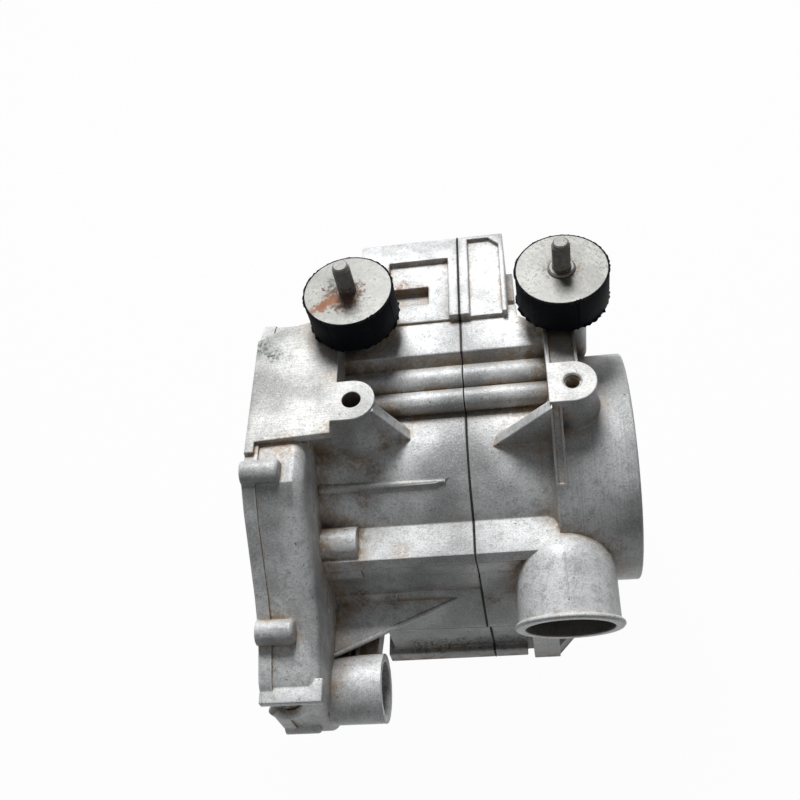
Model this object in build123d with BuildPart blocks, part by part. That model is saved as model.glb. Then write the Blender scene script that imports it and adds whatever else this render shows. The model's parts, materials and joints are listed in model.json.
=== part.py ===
from build123d import *
from math import cos, radians, sin
import os

# Engine crankcase, vertically split, standing upside down on its cylinder deck.
# X runs along the crank line, Y to the back, Z up. The origin is the crank line at the joint.

# Crank line, joint and main lengths
joint_gap = 0.8
cover_face_x = 114.0
housing_depth = 31.0
spigot_end_x = 88.3
deck_z = 102.0
mount_plane_z = 87.0

# Crank chamber and its walls
chamber_r = 50.0
chamber_half_width = 30.0
drum_wall = 7.0
outline_y = 20.0
outline_top_drop = 6.0
outline_bottom_rise = 4.0
inner_wall = 12.0

# Main bearing seats
race_outer_r = 31.0
race_wall = 4.0
race_width = 16.0
race_edge = 1.0
seat_clearance = 0.02
circlip_thickness = 1.75
circlip_groove_depth = 1.5
circlip_band = 4.5
circlip_land = 2.0
shoulder_lip = 2.6
shoulder_width = 4.5
bearing_boss_wall = 8.0

# Joint bolts and dowels
bolt_r = 3.0
bolt_clearance = 0.3
thread_clearance = 0.05
bolt_head_r = 5.0
bolt_head_height = 6.0
bolt_key_r = 2.9
bolt_key_depth = 3.2
bolt_engagement = 22.0
washer_r = 6.2
washer_thickness = 1.2
dowel_outer_r = 5.0
dowel_wall = 1.4
dowel_length = 12.0
dowel_clearance = 0.03

# Mounting bosses and the machined pad
mount_spacing_x = 116.0
mount_spacing_y = 58.0
mount_boss_r = 12.5
mount_boss_root_z = 40.0
boss_flare_z = 72.0
boss_flare_angle = 14.0
boss_gusset_reach = 15.0
boss_gusset_width = 6.0
boss_gusset_y = 2.0
boss_gusset_inset = 3.0
mount_hole_r = 5.2
mount_hole_depth = 26.0
mount_thread_r = 4.25
mount_thread_chamfer = 1.0
pad_height = 2.5
pad_right_x = 66.5
pad_front_y = 20.0
pad_back_y = 47.0
pad_corner_x = 100.0
pad_corner_y = 54.0
pad_tail_x = 84.0
pad_tail_y = 57.5
pad_strip_width = 5.0
pad_strip_front_y = 28.5
web_drop = 3.0
web_bottom_z = 34.0
web_channel_left_x = 47.5
web_channel_width = 13.0
web_channel_back_y = 45.5
web_channel_depth = 2.0
tie_z = 53.0
tie_width = 8.0
tie_height = 16.0

# Rubber mounts
rubber_r = 25.0
isolator_height = 22.0
plate_thickness = 2.0
plate_r = 24.2
stud_r = 4.9
stud_length = 20.0
stud_root_length = 18.0
stud_head_r = 8.5
stud_head_thickness = 2.0
collar_r = 6.0
stud_chamfer = 0.9
fit_gap = 0.05

# Rails over the joint
rail_back_r = 8.0
rail_back_y = 26.0
rail_back_z = 62.0
rail_front_r = 6.5
rail_front_y = 13.0
rail_front_z = 60.5

# Plateau and back box
plateau_z = 73.0
plateau_front_y = 34.5
plateau_step = 2.5
plateau_root = 3.0
plateau_overlap = 8.0
box_top_z = 78.0
box_front_y = 60.0
box_back_y = 121.0
box_left_x = 58.0
box_right_x = 27.0
box_bottom_z = 12.0
box_wall = 6.0
box_overlap = 5.0
box_roof = 16.0
box_rim = 6.0
box_thin_rim = 2.7
box_recess_depth = 3.5
box_right_recess_depth = 2.5
box_right_recess_r = 6.0
box_block_width = 4.0
box_block_front_y = 84.0
box_block_back_y = 106.0
box_block_top_z = 58.0
box_recess_left_margin = 17.0
box_recess_back_margin = 16.0
box_pocket_margin = 13.0
box_chamfer_y = 18.0
box_chamfer_z = 20.0
slot_depth = 6.0
slot_length = 21.0
slot_width = 13.0
slot_x = 28.5
slot_y = 80.0

# Front ledge and lower front wall
ledge_z = 30.0
ledge_back_y = 47.0
ledge_front_y = 68.5
ledge_roll = 2.5
ledge_rise = 2.0
lip_bottom_z = 24.5
lip_height = 1.0
lip_groove_depth = 4.0
lower_lip_top_z = 21.5
lower_lip_bottom_z = 10.3
lower_lip_step = 0.8
front_wall_y = 67.2
panel_top_y = 72.0
panel_front_y = 78.5
panel_top_z = -8.0
panel_bottom_z = -39.0
panel_rim = 3.0
panel_shelf = 2.5
ledge_boss_r = 9.0
ledge_boss_y = 55.0
ledge_bulge_y = 61.5
ledge_bulge_z = 18.5
ledge_bulge_r = 8.0
ledge_boss_end_x = 63.0

# Neck, deck flange and cylinder opening
neck_front_y = 68.5
neck_back_y = 58.0
neck_back_top_z = -30.0
neck_left_x = 63.0
neck_right_x = 56.0
neck_corner_x = 40.0
flange_rim = 4.0
flange_thickness = 11.5
flange_notch_x = 22.5
flange_notch_width = 4.0
cylinder_bore_r = 36.0
cylinder_bore_end_z = 40.0
deck_hole_r = 3.4
deck_hole_depth = 24.0
deck_hole_x = 30.0
deck_hole_y = 50.0
pillar_left_x = 24.5
pillar_width = 16.0
pillar_reach = 2.0
pillar_root = 8.0
pillar_top_z = -22.0

# Left cover housing
housing_wall = 6.0
housing_floor = 4.0
housing_edge_r = 7.0
rim_band_width = 7.0
rim_band_step = 1.2
cover_boss_r = 6.6
cover_boss_end_r = 2.5
cover_hole_r = 2.5
cover_hole_depth = 16.0
cover_boss_length = 20.0
notch_depth = 14.0
notch_height = 15.0
notch_z = 6.0
notch_plate_z = 16.0
notch_plate_thickness = 5.0
notch_plate_back_y = 126.0
notch_plate_front_y = 138.0
drain_slot_y = -80.0
drain_slot_z = 12.0
drain_slot_length = 12.0
drain_slot_width = 4.0
drain_slot_angle = 38.0

# Webs on the left half
fin_z = 47.5
fin_thickness = 3.0
fin_back_y = 27.0
fin_front_y = 32.3
fin_end_x = 5.0
fin_taper_x = 18.0
gusset_z = -10.0
gusset_thickness = 3.0
gusset_end_x = 14.0
gusset_reach = 31.0

# Right spigot and its flange rib
spigot_r = 65.2
spigot_wall = 4.0
spigot_chamfer = 0.8
flare_r = 6.6
flare_sweep = 75.0
rib_left_x = 45.4
rib_width = 6.0
rib_rim = 1.2
rib_channel = 0.985
rib_blend = [(-54, 35), (-40, 52.5), (-27, 61.5)]

# Front hose elbow
elbow_x = 46.5
elbow_lip_y = -98.0
elbow_lip_z = 0.5
elbow_tilt = 11.5
elbow_r = 27.0
elbow_wall = 3.2
elbow_length = 30.0
elbow_bead_r = 29.0
elbow_bead_width = 3.0
elbow_root = 4.0
duct_x = 58.0
duct_front_y = 76.0
duct_length = 26.0
duct_width = 12.0
duct_height = 28.0

# Ring lug at the front left
ring_y = -117.0
ring_z = -24.0
ring_outer_r = 18.5
ring_inner_r = 14.6
ring_right_x = 56.0
strap_back_y = 76.0
strap_right_x = 58.5
strap_end_y = 111.0
strap_end_x = 62.0
strap_top_z = -20.0
strap_bottom_z = -32.0
strap_rib_spots = [-76.0, -71.5]
strap_rib_width = 2.0
strap_rib_height = 5.0
strap_rib_y = -99.0
strap_rib_length = 16.0

# Worked out from the sizes above
half_gap = joint_gap / 2
drum_r = chamber_r + drum_wall
housing_back_x = cover_face_x - housing_depth
housing_floor_x = housing_back_x + housing_floor
housing_top_z = mount_plane_z - pad_height
race_inner_r = race_outer_r - race_wall
seat_r = race_outer_r + seat_clearance
groove_start = chamber_half_width + circlip_land
race_start = groove_start + circlip_thickness + fit_gap
race_end = race_start + race_width + fit_gap
boss_end = race_end + shoulder_width
cup_floor_x = boss_end
bearing_boss_r = race_outer_r + bearing_boss_wall
well_floor = chamber_half_width + inner_wall
spigot_bore_r = spigot_r - spigot_wall
mount_x = mount_spacing_x / 2
mount_back_y = mount_spacing_y
web_top_z = mount_plane_z - web_drop
clip_r = seat_r + circlip_groove_depth - fit_gap
flare_x = rib_left_x - flare_r

# Places of the joint bolts round the chamber, and of the cover screws round the housing, as Y and Z
bolt_spots = [
    (rail_back_y, rail_back_z),
    (-ledge_boss_y, ledge_z - 9),
    (-drum_r - 5, -22),
    (-drum_r + 11, -drum_r - 1),
    (drum_r - 11, -drum_r - 1),
    (drum_r + 3, 2),
    (60, 52),
]
box_bolt_spots = [(112, 50), (96, 21)]
dowel_spots = [bolt_spots[1], bolt_spots[5]]
cover_top_front_y = -46.0
cover_corners = [
    (-62, 72),
    (-90, 44),
    (-105, 32),
    (-129, 23.5),
    (-135, 18),
    (-135, -42),
    (-112, -50),
    (-78, -74),
    (-30, -86),
    (36, -86),
    (74, -60),
    (87, -8),
    (80, 52),
    (64, 79),
]
cover_boss_spots = [
    (-39.5, 84.5),
    (-105, 33),
    (-130, -35),
    (-77, -73),
    (0, -83),
    (78, -45),
    (83, 22),
    (34, 80),
]

os.makedirs("parts", exist_ok=True)


def across(x):
    """Plane across the crank line at x, with Y to the right and Z up."""
    return Plane.YZ.offset(x)


def body_outline():
    """Section of the case round the crank chamber, the same on both halves."""
    Circle(drum_r)
    Polygon(
        (-outline_y, drum_r - outline_top_drop),
        (-ledge_back_y, ledge_z + ledge_rise),
        (-ledge_front_y + ledge_roll, ledge_z),
        (-ledge_front_y, lip_bottom_z + lip_height),
        (-ledge_front_y, lip_bottom_z),
        (-ledge_front_y + lip_groove_depth, lip_bottom_z),
        (-ledge_front_y + lip_groove_depth, lower_lip_top_z),
        (-front_wall_y, lower_lip_top_z),
        (-front_wall_y, lower_lip_bottom_z),
        (-front_wall_y + lower_lip_step, lower_lip_bottom_z),
        (-panel_top_y + panel_shelf, panel_top_z + panel_shelf),
        (-panel_top_y, panel_top_z),
        (-panel_front_y, panel_bottom_z + panel_rim),
        (-panel_front_y, panel_bottom_z),
        (-neck_front_y, panel_bottom_z - panel_rim),
        (-outline_y, -drum_r + outline_bottom_rise),
        (outline_y, -drum_r + outline_bottom_rise),
        (neck_back_y, neck_back_top_z),
        (box_front_y + plateau_overlap, box_bottom_z),
        (plateau_front_y + plateau_step, plateau_z - plateau_root),
        (outline_y, drum_r - outline_top_drop),
    )
    with Locations((rail_back_y, rail_back_z)):
        Circle(rail_back_r)
    with Locations((rail_front_y, rail_front_z)):
        Circle(rail_front_r)


def plateau_outline():
    """Section of the plateau behind the rails."""
    Polygon(
        (plateau_front_y, outline_y),
        (plateau_front_y, rail_back_z + plateau_root),
        (plateau_front_y + plateau_step, plateau_z),
        (box_front_y + plateau_overlap, plateau_z),
        (box_front_y + plateau_overlap, box_bottom_z),
    )


def box_outline():
    """Section of the back box."""
    Polygon(
        (box_front_y - box_overlap, plateau_z - box_overlap),
        (box_front_y, plateau_z - box_overlap),
        (box_front_y, box_top_z),
        (box_back_y, box_top_z),
        (box_back_y, box_bottom_z + box_chamfer_z),
        (box_back_y - box_chamfer_y, box_bottom_z),
        (box_front_y - box_overlap, box_bottom_z),
    )


def box_cavity():
    """Section of the hollow in the back box."""
    Polygon(
        (box_front_y + box_pocket_margin, box_top_z - box_roof),
        (box_back_y - box_wall, box_top_z - box_roof),
        (box_back_y - box_wall, box_bottom_z + box_chamfer_z + box_wall / 2),
        (box_back_y - box_chamfer_y - box_wall / 2, box_bottom_z + box_wall),
        (box_front_y + box_pocket_margin, box_bottom_z + box_wall),
    )


def cover_outline():
    """Outline of the left housing seen along the crank line."""
    Polygon(
        (pad_back_y, housing_top_z),
        (cover_top_front_y, housing_top_z),
        *cover_corners,
    )


def neck_outline(left, right, rim):
    """Plan of the neck or its flange, with a slanted front right corner."""
    front = -neck_front_y - rim
    Polygon(
        (left, front),
        (min(right, neck_corner_x), front),
        (right, front + right - min(right, neck_corner_x)),
        (right, neck_back_y + rim),
        (left, neck_back_y + rim),
    )


# Bosses of the cover screws, with rounded ends
with BuildPart() as cover_bosses:
    with BuildSketch(across(-cover_face_x)):
        with Locations(*cover_boss_spots):
            Circle(cover_boss_r)
    extrude(amount=cover_boss_length)
    fillet(cover_bosses.faces().group_by(Axis.X)[-1].edges(), radius=cover_boss_end_r)

# Left cover housing: a deep open box with a rim band and a rounded right shoulder
with BuildPart() as left_housing:
    with BuildSketch(across(-cover_face_x)):
        cover_outline()
        offset(amount=-rim_band_step, kind=Kind.INTERSECTION)
    extrude(amount=housing_depth)
    shoulder = left_housing.faces().sort_by(Axis.X)[-1].edges()
    fillet(shoulder, radius=housing_edge_r)
    with BuildSketch(across(-cover_face_x)):
        cover_outline()
    extrude(amount=rim_band_width)
    with BuildSketch(across(-cover_face_x)):
        cover_outline()
        offset(amount=-housing_wall, kind=Kind.INTERSECTION)
    extrude(amount=housing_depth - housing_floor, mode=Mode.SUBTRACT)
    add(cover_bosses.part)

# Left half: chamber drum, housing, bosses, webs and lugs in one casting
with BuildPart() as left_case_half:
    with BuildSketch(across(-half_gap)):
        body_outline()
        plateau_outline()
    extrude(amount=-(housing_back_x + 2 - half_gap))
    with BuildSketch(across(-half_gap)):
        box_outline()
    extrude(amount=-(box_left_x - half_gap))
    add(left_housing.part)

    # Neck and deck flange
    with BuildSketch(Plane.XY.offset(-deck_z)):
        neck_outline(-neck_left_x, -half_gap, 0)
    extrude(amount=deck_z + panel_bottom_z)
    with BuildSketch(Plane.XY.offset(-deck_z)):
        neck_outline(-neck_left_x - flange_rim, -half_gap, flange_rim)
    extrude(amount=flange_thickness)

    # Machined pad and the block under it
    with BuildSketch(Plane.XY.offset(mount_plane_z)):
        Polygon(
            (-cover_face_x, pad_back_y),
            (-cover_face_x, -pad_strip_front_y),
            (-cover_face_x + pad_strip_width, -pad_strip_front_y),
            (-cover_face_x + pad_strip_width, -pad_front_y - 2),
            (-pad_right_x - 2, -pad_front_y),
            (-pad_right_x - 3, -mount_boss_r),
            (-pad_right_x, -mount_boss_r),
            (-pad_right_x, pad_tail_y),
            (-pad_tail_x, pad_tail_y),
            (-pad_corner_x, pad_corner_y),
        )
    extrude(amount=-pad_height - rim_band_step - 1)
    with BuildSketch(Plane.XY.offset(housing_top_z + 1)):
        Polygon(
            (-cover_face_x, pad_back_y - 2),
            (-cover_face_x, pad_back_y),
            (-pad_corner_x, pad_corner_y),
            (-pad_tail_x, pad_tail_y),
            (-pad_right_x, pad_tail_y),
            (-pad_right_x, pad_back_y - 2),
        )
    extrude(amount=-housing_wall)
    with BuildSketch(Plane.XY.offset(mount_plane_z)):
        Polygon(
            (-housing_back_x - 1, -mount_boss_r),
            (-mount_x, -mount_boss_r),
            (-mount_x, mount_boss_r),
            (-pad_right_x, mount_boss_r),
            (-pad_right_x, pad_back_y),
            (-housing_back_x - 1, pad_back_y),
        )
    extrude(amount=-(mount_plane_z - mount_boss_root_z))
    with BuildSketch(Plane.XY.offset(mount_plane_z)):
        with Locations((-mount_x, 0), (-mount_x, mount_back_y)):
            Circle(mount_boss_r)
    extrude(amount=-(mount_plane_z - mount_boss_root_z))
    with BuildSketch(Plane.XY.offset(boss_flare_z)):
        with Locations((-mount_x, 0)):
            Circle(mount_boss_r)
    extrude(amount=-(boss_flare_z - mount_boss_root_z), taper=-boss_flare_angle)

    # Gusset from the front boss down the drum
    with BuildSketch(Plane.XZ.offset(boss_gusset_y)):
        Polygon(
            (-mount_x, mount_plane_z - 1),
            (-mount_x + mount_boss_r - 1, mount_plane_z - 1),
            (-mount_x + mount_boss_r + boss_gusset_reach, drum_r - 1),
            (-mount_x, drum_r - 6),
        )
    extrude(amount=boss_gusset_width)

    # Boss on the ledge and the fin along the drum
    with BuildSketch(across(-housing_back_x - 2)):
        with Locations((-ledge_boss_y, ledge_z)):
            Circle(ledge_boss_r)
        with Locations((-ledge_bulge_y, ledge_bulge_z)):
            Circle(ledge_bulge_r)
    extrude(amount=housing_back_x + 2 - ledge_boss_end_x)
    with BuildSketch(Plane.XY.offset(fin_z - fin_thickness / 2)):
        Polygon(
            (-housing_back_x - 2, -fin_back_y),
            (-fin_end_x, -fin_back_y),
            (-fin_taper_x, -fin_front_y),
            (-housing_back_x - 2, -fin_front_y),
        )
    extrude(amount=fin_thickness)

    # Level gusset between the housing and the front wall
    with BuildSketch(Plane.XY.offset(gusset_z - gusset_thickness)):
        Polygon(
            (-housing_back_x - 2, -neck_front_y),
            (-gusset_end_x, -neck_front_y),
            (-gusset_end_x, -panel_top_y),
            (-housing_back_x - 2, -panel_top_y - gusset_reach),
        )
    extrude(amount=gusset_thickness)

    # Ring lug with its strap and two small ribs on the strap
    with BuildSketch(across(-ring_right_x)):
        with Locations((ring_y, ring_z)):
            Circle(ring_outer_r)
    extrude(amount=-(housing_back_x + 2 - ring_right_x))
    with BuildSketch(Plane.XY.offset(strap_top_z)):
        Polygon(
            (-housing_back_x - 2, -strap_back_y),
            (-strap_right_x, -strap_back_y),
            (-strap_end_x, -strap_end_y),
            (-housing_back_x - 2, -strap_end_y),
        )
    extrude(amount=strap_bottom_z - strap_top_z)
    with BuildSketch(Plane.XY.offset(strap_top_z)):
        with Locations(*[(x, strap_rib_y) for x in strap_rib_spots]):
            Rectangle(strap_rib_width, strap_rib_length)
    extrude(amount=strap_rib_height)

    # Front plate over the cable notch
    with BuildSketch(Plane.XY.offset(notch_plate_z)):
        Polygon(
            (-cover_face_x, -notch_plate_back_y),
            (-cover_face_x, -notch_plate_front_y),
            (-housing_back_x + 2, -notch_plate_front_y),
            (-housing_back_x + 2, -notch_plate_back_y),
        )
    extrude(amount=notch_plate_thickness)

    # Open the case: chamber, bearing seat, side well and back box
    with BuildSketch(across(0)):
        Circle(chamber_r)
    extrude(amount=-chamber_half_width, mode=Mode.SUBTRACT)
    with BuildSketch(across(-housing_floor_x - 1)):
        Circle(chamber_r)
        Circle(bearing_boss_r, mode=Mode.SUBTRACT)
    extrude(amount=housing_floor_x + 1 - well_floor, mode=Mode.SUBTRACT)
    with BuildSketch(across(-housing_floor_x - 1)):
        Circle(bearing_boss_r + 1)
    extrude(amount=housing_floor_x + 1 - boss_end, mode=Mode.SUBTRACT)
    with BuildSketch(across(-race_end)):
        Circle(seat_r)
    extrude(amount=race_end, mode=Mode.SUBTRACT)
    with BuildSketch(across(-groove_start - circlip_thickness - fit_gap)):
        Circle(seat_r + circlip_groove_depth)
    extrude(amount=circlip_thickness + fit_gap, mode=Mode.SUBTRACT)
    with BuildSketch(across(-boss_end - 1)):
        Circle(race_outer_r - shoulder_lip)
    extrude(amount=boss_end, mode=Mode.SUBTRACT)
    with BuildSketch(across(0)):
        box_cavity()
    extrude(amount=-(box_left_x - box_wall), mode=Mode.SUBTRACT)

    # Cylinder opening and its stud holes
    with BuildSketch(Plane.XY.offset(-deck_z)):
        Circle(cylinder_bore_r)
    extrude(amount=deck_z - cylinder_bore_end_z, mode=Mode.SUBTRACT)
    with BuildSketch(Plane.XY.offset(-deck_z)):
        with Locations((-deck_hole_x, -deck_hole_y), (-deck_hole_x, deck_hole_y)):
            Circle(deck_hole_r)
    extrude(amount=deck_hole_depth, mode=Mode.SUBTRACT)

    # Mounting holes
    with BuildSketch(Plane.XY.offset(mount_plane_z)):
        with Locations((-mount_x, 0)):
            Circle(mount_hole_r)
    extrude(amount=-mount_hole_depth, mode=Mode.SUBTRACT)
    with BuildSketch(Plane.XY.offset(mount_plane_z)):
        with Locations((-mount_x, mount_back_y)):
            Circle(stud_r + thread_clearance)
    extrude(amount=-mount_hole_depth, mode=Mode.SUBTRACT)

    # Joint bolt holes, dowel seats and cover screw holes
    with BuildSketch(across(0)):
        with Locations(*bolt_spots):
            Circle(bolt_r + bolt_clearance)
    extrude(amount=-(housing_floor_x + 1), mode=Mode.SUBTRACT)
    with BuildSketch(across(0)):
        with Locations(*box_bolt_spots):
            Circle(bolt_r + bolt_clearance)
    extrude(amount=-(box_left_x + 1), mode=Mode.SUBTRACT)
    with BuildSketch(across(0)):
        with Locations(*dowel_spots):
            Circle(dowel_outer_r + dowel_clearance)
    extrude(amount=-dowel_length / 2 - fit_gap, mode=Mode.SUBTRACT)
    with BuildSketch(across(-cover_face_x)):
        with Locations(*cover_boss_spots):
            Circle(cover_hole_r)
    extrude(amount=cover_hole_depth, mode=Mode.SUBTRACT)
    with BuildSketch(across(-housing_back_x)):
        with Locations((drain_slot_y, drain_slot_z)):
            SlotOverall(drain_slot_length, drain_slot_width, rotation=drain_slot_angle)
    extrude(amount=-housing_floor, mode=Mode.SUBTRACT)

    # Ring bore, cable notch and the recess and slot of the back box
    with BuildSketch(across(-ring_right_x)):
        with Locations((ring_y, ring_z)):
            Circle(ring_inner_r)
    extrude(amount=-(housing_back_x - ring_right_x), mode=Mode.SUBTRACT)
    with BuildSketch(Plane.XZ.offset(notch_plate_back_y)):
        with Locations((-cover_face_x, notch_z)):
            SlotCenterToCenter(2 * notch_depth - notch_height, notch_height)
    extrude(amount=notch_plate_front_y - notch_plate_back_y + 2, mode=Mode.SUBTRACT)
    with BuildSketch(Plane.XY.offset(box_top_z)):
        Polygon(
            (-box_left_x + box_recess_left_margin, box_front_y - 1),
            (-box_rim, box_front_y - 1),
            (-box_rim, box_back_y - box_recess_back_margin),
            (-box_left_x + box_recess_left_margin, box_back_y - box_recess_back_margin),
        )
    extrude(amount=-box_recess_depth, mode=Mode.SUBTRACT)
    with BuildSketch(Plane.XY.offset(box_top_z)):
        with Locations((-slot_x, slot_y)):
            Rectangle(slot_length, slot_width)
    extrude(amount=-box_recess_depth - slot_depth, mode=Mode.SUBTRACT)

left_case_half.part.label = "left_case_half"
export_step(left_case_half.part, "parts/left_case_half.step")

# Right spigot: a round turned cup round the crank line, flared out of the drum, with a band to its boss
with BuildPart() as right_spigot:
    with BuildSketch(Plane.XZ):
        with BuildLine():
            flare = JernArc(start=(flare_x, drum_r), tangent=(1, 0), radius=flare_r, arc_size=flare_sweep)
            Polyline(
                flare @ 1,
                (rib_left_x, spigot_r),
                (spigot_end_x - spigot_chamfer, spigot_r),
                (spigot_end_x, spigot_r - spigot_chamfer),
                (spigot_end_x, 0),
                (flare_x, 0),
                flare @ 0,
            )
        make_face()
    revolve(axis=Axis.X)
    with BuildSketch(across(rib_left_x)):
        Polygon(
            (-mount_boss_r, web_top_z),
            (mount_boss_r, web_top_z),
            (mount_boss_r, drum_r / 2),
            *rib_blend,
        )
    extrude(amount=rib_width)
    with BuildSketch(across(rib_left_x + rib_rim)):
        Polygon(
            *[(y * 1.1, z * 1.1) for y, z in rib_blend[1:]],
            (-mount_boss_r * 1.1, web_top_z),
            (-mount_boss_r * rib_channel + 1, web_top_z),
            *[(y * rib_channel, z * rib_channel) for y, z in reversed(rib_blend[1:])],
        )
    extrude(amount=rib_width - 2 * rib_rim, mode=Mode.SUBTRACT)

# Hose elbow: a straight machined stub with a domed root and a bead at its lip
elbow_plane = Plane(
    origin=(elbow_x, elbow_lip_y, elbow_lip_z),
    x_dir=(1, 0, 0),
    z_dir=(0, cos(radians(elbow_tilt)), sin(radians(elbow_tilt))),
)
with BuildPart() as elbow:
    with BuildSketch(elbow_plane):
        Circle(elbow_r)
    extrude(amount=elbow_length)
    with BuildSketch(elbow_plane):
        Circle(elbow_bead_r)
    extrude(amount=elbow_bead_width)
    bead = elbow.edges().filter_by(GeomType.CIRCLE).filter_by(lambda e: abs(e.radius - elbow_bead_r) < 0.01)
    chamfer(bead, length=1.0)
    with Locations(elbow_plane.offset(elbow_length)):
        Sphere(elbow_r)

# Right half: chamber drum, spigot, elbow and bosses in one casting
with BuildPart() as right_case_half:
    with BuildSketch(across(half_gap)):
        body_outline()
    extrude(amount=rib_left_x + 2 - half_gap)
    with BuildSketch(across(half_gap)):
        plateau_outline()
    extrude(amount=rib_left_x + 2 - half_gap)
    with BuildSketch(Plane.XY.offset(box_bottom_z)):
        Polygon(
            (box_right_x + 5, box_front_y),
            (rib_left_x + 2, mount_back_y - 8),
            (rib_left_x + 2, box_back_y),
            (box_right_x + 5, box_back_y),
        )
    extrude(amount=mount_plane_z, mode=Mode.SUBTRACT)
    with BuildSketch(across(half_gap)):
        box_outline()
    extrude(amount=box_right_x - half_gap)
    with BuildSketch(Plane.XY.offset(box_block_top_z)):
        Polygon(
            (box_right_x - 1, box_block_front_y),
            (box_right_x + box_block_width, box_block_front_y),
            (box_right_x + box_block_width, box_block_back_y),
            (box_right_x - 1, box_block_back_y),
        )
    extrude(amount=-(box_block_top_z - box_bottom_z - box_chamfer_z))
    add(right_spigot.part)
    add(elbow.part)

    # Neck and deck flange, with the pillar under the elbow
    with BuildSketch(Plane.XY.offset(-deck_z)):
        neck_outline(half_gap, neck_right_x, 0)
    extrude(amount=deck_z + panel_bottom_z)
    with BuildSketch(Plane.XY.offset(-deck_z)):
        neck_outline(half_gap, neck_right_x + flange_rim, flange_rim)
    extrude(amount=flange_thickness)
    with BuildSketch(Plane.XY.offset(-deck_z)):
        Polygon(
            (pillar_left_x, -neck_front_y - flange_rim - pillar_reach),
            (pillar_left_x + pillar_width, -neck_front_y - flange_rim - pillar_reach),
            (pillar_left_x + pillar_width, -neck_front_y + pillar_root),
            (pillar_left_x, -neck_front_y + pillar_root),
        )
    extrude(amount=deck_z + pillar_top_z)

    # Mounting bosses, their web and the gusset down the drum
    with BuildSketch(Plane.XY.offset(mount_plane_z)):
        with Locations((mount_x, 0), (mount_x, mount_back_y)):
            Circle(mount_boss_r)
        Polygon(
            (rib_left_x, -mount_boss_r),
            (mount_x, -mount_boss_r),
            (mount_x, mount_boss_r),
            (rib_left_x, mount_boss_r),
        )
    extrude(amount=-(mount_plane_z - mount_boss_root_z))
    with BuildSketch(Plane.XY.offset(boss_flare_z)):
        with Locations((mount_x, 0)):
            Circle(mount_boss_r)
    extrude(amount=-(boss_flare_z - mount_boss_root_z), taper=-boss_flare_angle)
    with BuildSketch(Plane.XY.offset(web_top_z)):
        Polygon(
            (rib_left_x, mount_boss_r - 2),
            (mount_x + 4, mount_boss_r - 2),
            (mount_x + 4, mount_back_y),
            (rib_left_x, mount_back_y),
        )
    extrude(amount=-(web_top_z - web_bottom_z))
    with BuildSketch(Plane.XY.offset(web_top_z)):
        Polygon(
            (web_channel_left_x, mount_boss_r),
            (web_channel_left_x + web_channel_width, mount_boss_r),
            (web_channel_left_x + web_channel_width, web_channel_back_y),
            (web_channel_left_x, web_channel_back_y),
        )
    extrude(amount=-web_channel_depth, mode=Mode.SUBTRACT)
    with BuildSketch(across(box_right_x - 2)):
        with Locations((mount_back_y, tie_z)):
            Rectangle(tie_width, tie_height)
    extrude(amount=mount_x - box_right_x)
    with BuildSketch(Plane.XZ.offset(mount_boss_r - boss_gusset_inset)):
        Polygon(
            (rib_left_x + 1, mount_plane_z - 1),
            (gusset_end_x, drum_r - 2),
            (rib_left_x + 1, drum_r - 12),
        )
    extrude(amount=boss_gusset_width)

    # Open the case: chamber, bearing seat, spigot cup and back box
    with BuildSketch(across(0)):
        Circle(chamber_r)
    extrude(amount=chamber_half_width, mode=Mode.SUBTRACT)
    with BuildSketch(across(cup_floor_x)):
        Circle(spigot_bore_r)
        Circle(bearing_boss_r, mode=Mode.SUBTRACT)
    extrude(amount=spigot_end_x, mode=Mode.SUBTRACT)
    with BuildSketch(across(boss_end)):
        Circle(bearing_boss_r + 1)
    extrude(amount=spigot_end_x, mode=Mode.SUBTRACT)
    with BuildSketch(across(0)):
        Circle(seat_r)
    extrude(amount=race_end, mode=Mode.SUBTRACT)
    with BuildSketch(across(groove_start)):
        Circle(seat_r + circlip_groove_depth)
    extrude(amount=circlip_thickness + fit_gap, mode=Mode.SUBTRACT)
    with BuildSketch(across(0)):
        Circle(race_outer_r - shoulder_lip)
    extrude(amount=boss_end + 1, mode=Mode.SUBTRACT)
    with BuildSketch(across(0)):
        box_cavity()
    extrude(amount=box_right_x - box_wall, mode=Mode.SUBTRACT)
    with BuildSketch(Plane.XY.offset(box_top_z)):
        Polygon(
            (box_rim, box_front_y - 1),
            (box_right_x - box_thin_rim, box_front_y - 1),
            (box_right_x - box_thin_rim, box_back_y - box_thin_rim - box_right_recess_r),
            (box_right_x - box_thin_rim - box_right_recess_r, box_back_y - box_thin_rim),
            (box_rim, box_back_y - box_thin_rim),
        )
    extrude(amount=-box_right_recess_depth, mode=Mode.SUBTRACT)

    # Elbow bore and its window into the spigot cup
    with BuildSketch(elbow_plane):
        Circle(elbow_r - elbow_wall)
    extrude(amount=elbow_length - elbow_root, mode=Mode.SUBTRACT)
    with BuildSketch(Plane.XZ.offset(duct_front_y)):
        with Locations((duct_x, 0)):
            Rectangle(duct_width, duct_height)
    extrude(amount=-duct_length, mode=Mode.SUBTRACT)

    # Cylinder opening, stud holes and the notch in the flange
    with BuildSketch(Plane.XY.offset(-deck_z)):
        Circle(cylinder_bore_r)
    extrude(amount=deck_z - cylinder_bore_end_z, mode=Mode.SUBTRACT)
    with BuildSketch(Plane.XY.offset(-deck_z)):
        with Locations((deck_hole_x, -deck_hole_y), (deck_hole_x, deck_hole_y)):
            Circle(deck_hole_r)
    extrude(amount=deck_hole_depth, mode=Mode.SUBTRACT)
    with BuildSketch(Plane.XY.offset(-deck_z)):
        with Locations((flange_notch_x, -neck_front_y - flange_rim)):
            Rectangle(flange_notch_width, 2 * flange_rim)
    extrude(amount=flange_thickness, mode=Mode.SUBTRACT)

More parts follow.
